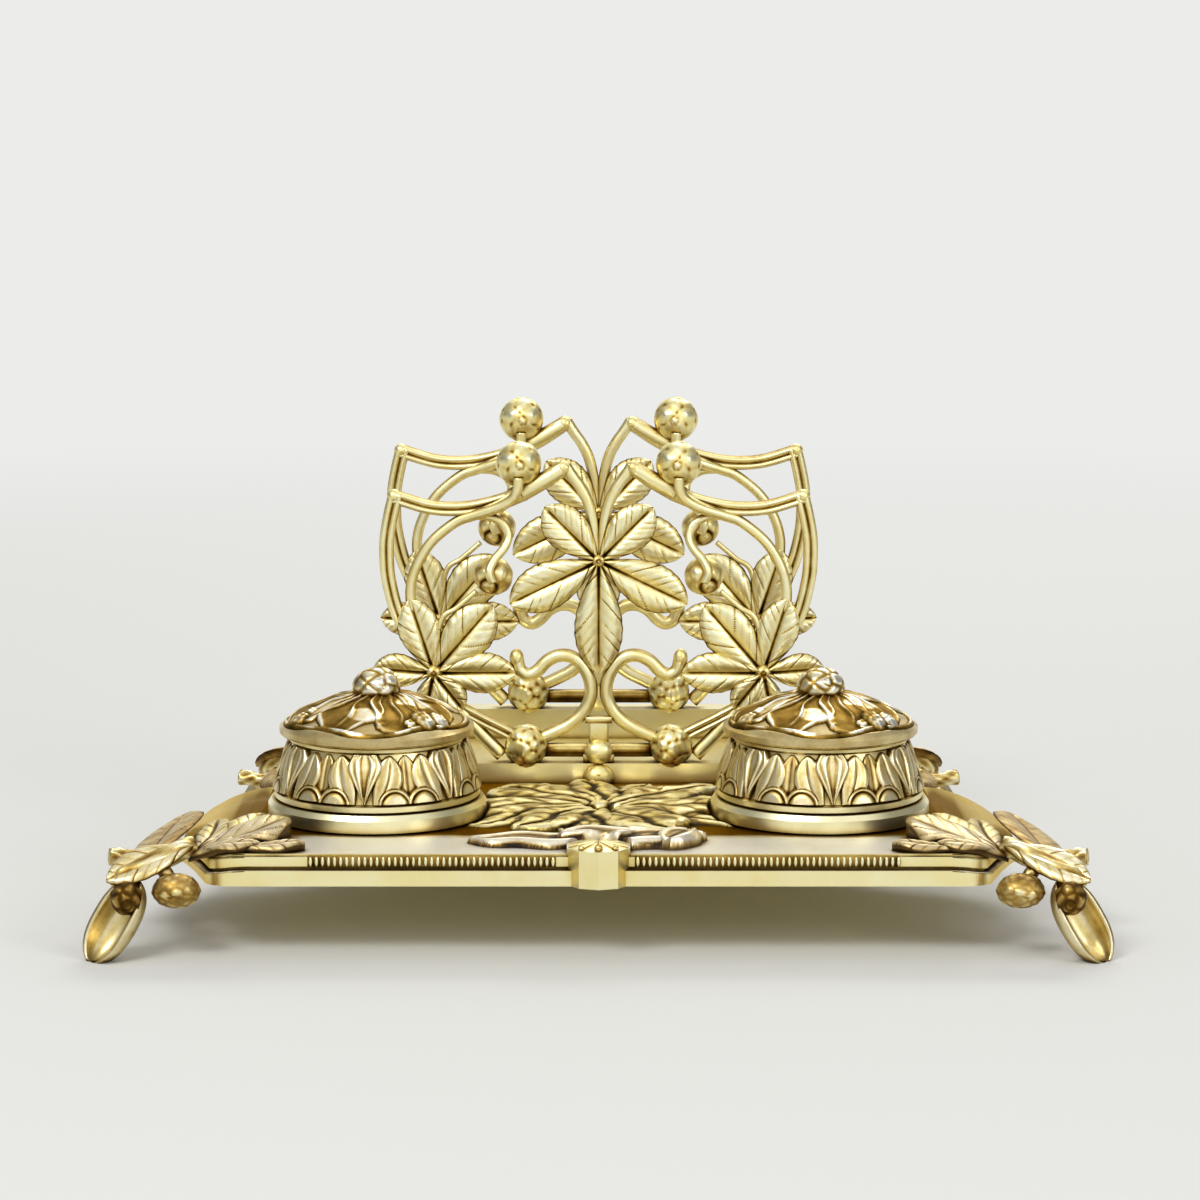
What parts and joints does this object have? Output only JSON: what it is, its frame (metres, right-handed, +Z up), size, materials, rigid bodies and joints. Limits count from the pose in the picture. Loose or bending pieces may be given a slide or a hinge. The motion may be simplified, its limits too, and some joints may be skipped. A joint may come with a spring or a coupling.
{
  "type": "desk inkstand",
  "caption": "Cast brass desk inkstand on chestnut-husk feet, with hinged lidded inkwells, glass liners and a letter rack of pierced chestnut-leaf plates.",
  "frame": {"origin": "on the table under the middle of the tray", "axes": "+X to the right along the front edge, +Y to the back towards the letter rack, +Z up"},
  "size_m": [0.3414, 0.2126, 0.1694],
  "materials": {
    "tray_brass": "polished, pale, browned in its grooves",
    "cast_brass": "polished casting with dark recesses",
    "turned_brass": "polished",
    "lid_brass": "brown patina with rubbed highlights",
    "fixing_brass": "dull",
    "ink_glass": "clear"
  },
  "bodies": {
    "stand": {"tray": "tray_brass", "tray_leaf": "tray_brass", "foot_front_left": "cast_brass", "foot_front_right": "cast_brass", "foot_rear_left": "cast_brass", "foot_rear_right": "cast_brass", "foot_nuts": "fixing_brass", "ring_left": "turned_brass", "ring_right": "turned_brass", "body_left": "turned_brass", "body_right": "turned_brass", "well_screws": "fixing_brass", "liner_left": "ink_glass", "liner_right": "ink_glass", "hinge_bracket_left": "turned_brass", "hinge_bracket_right": "turned_brass", "hinge_pin_left": "fixing_brass", "hinge_pin_right": "fixing_brass", "hinge_screws": "fixing_brass", "rack_base": "turned_brass", "rack_plate_front": "cast_brass", "rack_plate_back": "cast_brass", "rack_plate_screws": "fixing_brass", "rack_base_screws": "fixing_brass"},
    "lid_left": {"lid_left": "lid_brass", "lid_knob_left": "lid_brass", "lid_knuckle_left": "lid_brass"},
    "lid_right": {"lid_right": "lid_brass", "lid_knob_right": "lid_brass", "lid_knuckle_right": "lid_brass"}
  },
  "joints": [
    {"name": "lid_left_hinge", "type": "hinge", "parent": "stand", "child": "lid_left", "pos_m": [-0.07675, 0.0096, 0.065], "axis": [-1, 0, 0], "range_deg": [0, 75]},
    {"name": "lid_right_hinge", "type": "hinge", "parent": "stand", "child": "lid_right", "pos_m": [0.07675, 0.0096, 0.065], "axis": [-1, 0, 0], "range_deg": [0, 75]}
  ]
}
